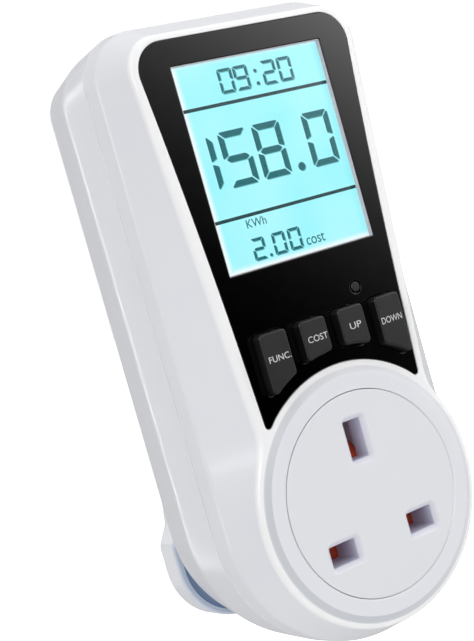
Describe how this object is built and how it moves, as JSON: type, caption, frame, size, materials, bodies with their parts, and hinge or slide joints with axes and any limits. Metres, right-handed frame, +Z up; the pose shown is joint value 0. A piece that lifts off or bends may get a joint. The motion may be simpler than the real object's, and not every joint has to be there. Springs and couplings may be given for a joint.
{
  "type": "plug-in power meter",
  "caption": "Plug-in mains power meter with a front three-pin socket, rear plug pins, backlit display, press keys, reset button and sprung socket shutter.",
  "frame": {"origin": "centre of the plug face, the flat rear face of the plug flange, on the axis shared by the socket and the plug", "axes": "+Y the way the plug pins point, so the display and socket face -Y; +Z up the case towards the display; +X to the right seen from the front, the line side"},
  "size_m": [0.066, 0.0765, 0.1439],
  "materials": {
    "case_plastic": "fine satin white moulded plastic",
    "fascia": "high-gloss black panel",
    "key_plastic": "satin dark grey key caps",
    "lens": "clear window",
    "lcd": "cyan backlit display with dark segments",
    "frame_plastic": "light grey inner moulding",
    "light_guide": "milky light guide",
    "silicone": "soft grey silicone",
    "carbon": "carbon-filled rubber",
    "board": "green solder mask",
    "chip_plastic": "black moulded package",
    "connector": "cream nylon",
    "steel": "plated steel",
    "brass": "spring brass",
    "pin_metal": "solid brass pins",
    "sleeve": "black pin sleeve",
    "shutter_plastic": "red-brown moulded shutter",
    "capacitor": "yellow boxed capacitor",
    "capacitor_sleeve": "dark blue shrink sleeve",
    "varistor_coat": "blue dipped coating",
    "resistor_body": "grey-green lacquer",
    "shunt_metal": "bare copper-nickel strip"
  },
  "bodies": {
    "case": {"front_shell": "case_plastic", "rear_shell": "case_plastic", "plug_base": "case_plastic", "socket_disc": "case_plastic", "fascia_panel": "fascia", "window_lens": "lens", "front_polariser": "lcd", "lcd_glass": "lcd", "rear_polariser": "lcd", "light_guide": "light_guide", "zebra_strip": "silicone", "backlight_leds": "connector", "lcd_frame": "frame_plastic", "keypad_mat": "silicone", "reset_switch": "chip_plastic", "display_board": "board", "controller_chip": "chip_plastic", "crystal": "steel", "backup_battery": "capacitor_sleeve", "battery_clips": "steel", "ribbon_sockets": "connector", "ribbon_cable": "connector", "power_board": "board", "metering_chip": "chip_plastic", "supply_capacitor": "capacitor", "smoothing_capacitor": "capacitor_sleeve", "varistor": "varistor_coat", "bridge_rectifier": "chip_plastic", "dropper_resistor": "resistor_body", "shunt_resistor": "shunt_metal", "socket_base": "frame_plastic", "contact_cover": "frame_plastic", "shutter_spring": "steel", "line_contact": "brass", "neutral_contact": "brass", "earth_contact": "brass", "line_strap": "brass", "line_pin_strap": "brass", "neutral_strap": "brass", "earth_strap": "brass", "line_pin": "pin_metal", "neutral_pin": "pin_metal", "earth_pin": "pin_metal", "pin_sleeves": "sleeve", "pin_clamp": "frame_plastic", "case_screws": "steel", "socket_screws": "steel", "board_screws": "steel", "plug_screws": "steel"},
    "func_key": {"func_key": "key_plastic", "func_contact_pill": "carbon"},
    "cost_key": {"cost_key": "key_plastic", "cost_contact_pill": "carbon"},
    "up_key": {"up_key": "key_plastic", "up_contact_pill": "carbon"},
    "down_key": {"down_key": "key_plastic", "down_contact_pill": "carbon"},
    "reset_button": {"reset_button": "key_plastic", "reset_switch_plunger": "key_plastic"},
    "shutter": {"shutter": "shutter_plastic"}
  },
  "joints": [
    {"name": "func_key_press", "type": "slide", "parent": "case", "child": "func_key", "axis": [0, 1, 0], "range_m": [0, 0.001], "stiffness_N_per_m": 800, "springref_m": -0.0006, "deforming": ["keypad_mat"]},
    {"name": "cost_key_press", "type": "slide", "parent": "case", "child": "cost_key", "axis": [0, 1, 0], "range_m": [0, 0.001], "stiffness_N_per_m": 800, "springref_m": -0.0006, "deforming": ["keypad_mat"]},
    {"name": "up_key_press", "type": "slide", "parent": "case", "child": "up_key", "axis": [0, 1, 0], "range_m": [0, 0.001], "stiffness_N_per_m": 800, "springref_m": -0.0006, "deforming": ["keypad_mat"]},
    {"name": "down_key_press", "type": "slide", "parent": "case", "child": "down_key", "axis": [0, 1, 0], "range_m": [0, 0.001], "stiffness_N_per_m": 800, "springref_m": -0.0006, "deforming": ["keypad_mat"]},
    {"name": "reset_press", "type": "slide", "parent": "case", "child": "reset_button", "axis": [0, 1, 0], "range_m": [0, 0.0003], "stiffness_N_per_m": 3000, "springref_m": -0.0003},
    {"name": "shutter_slide", "type": "slide", "parent": "case", "child": "shutter", "axis": [0, 0, -1], "range_m": [0, 0.0062], "stiffness_N_per_m": 120, "springref_m": -0.004, "deforming": ["shutter_spring"]}
  ]
}
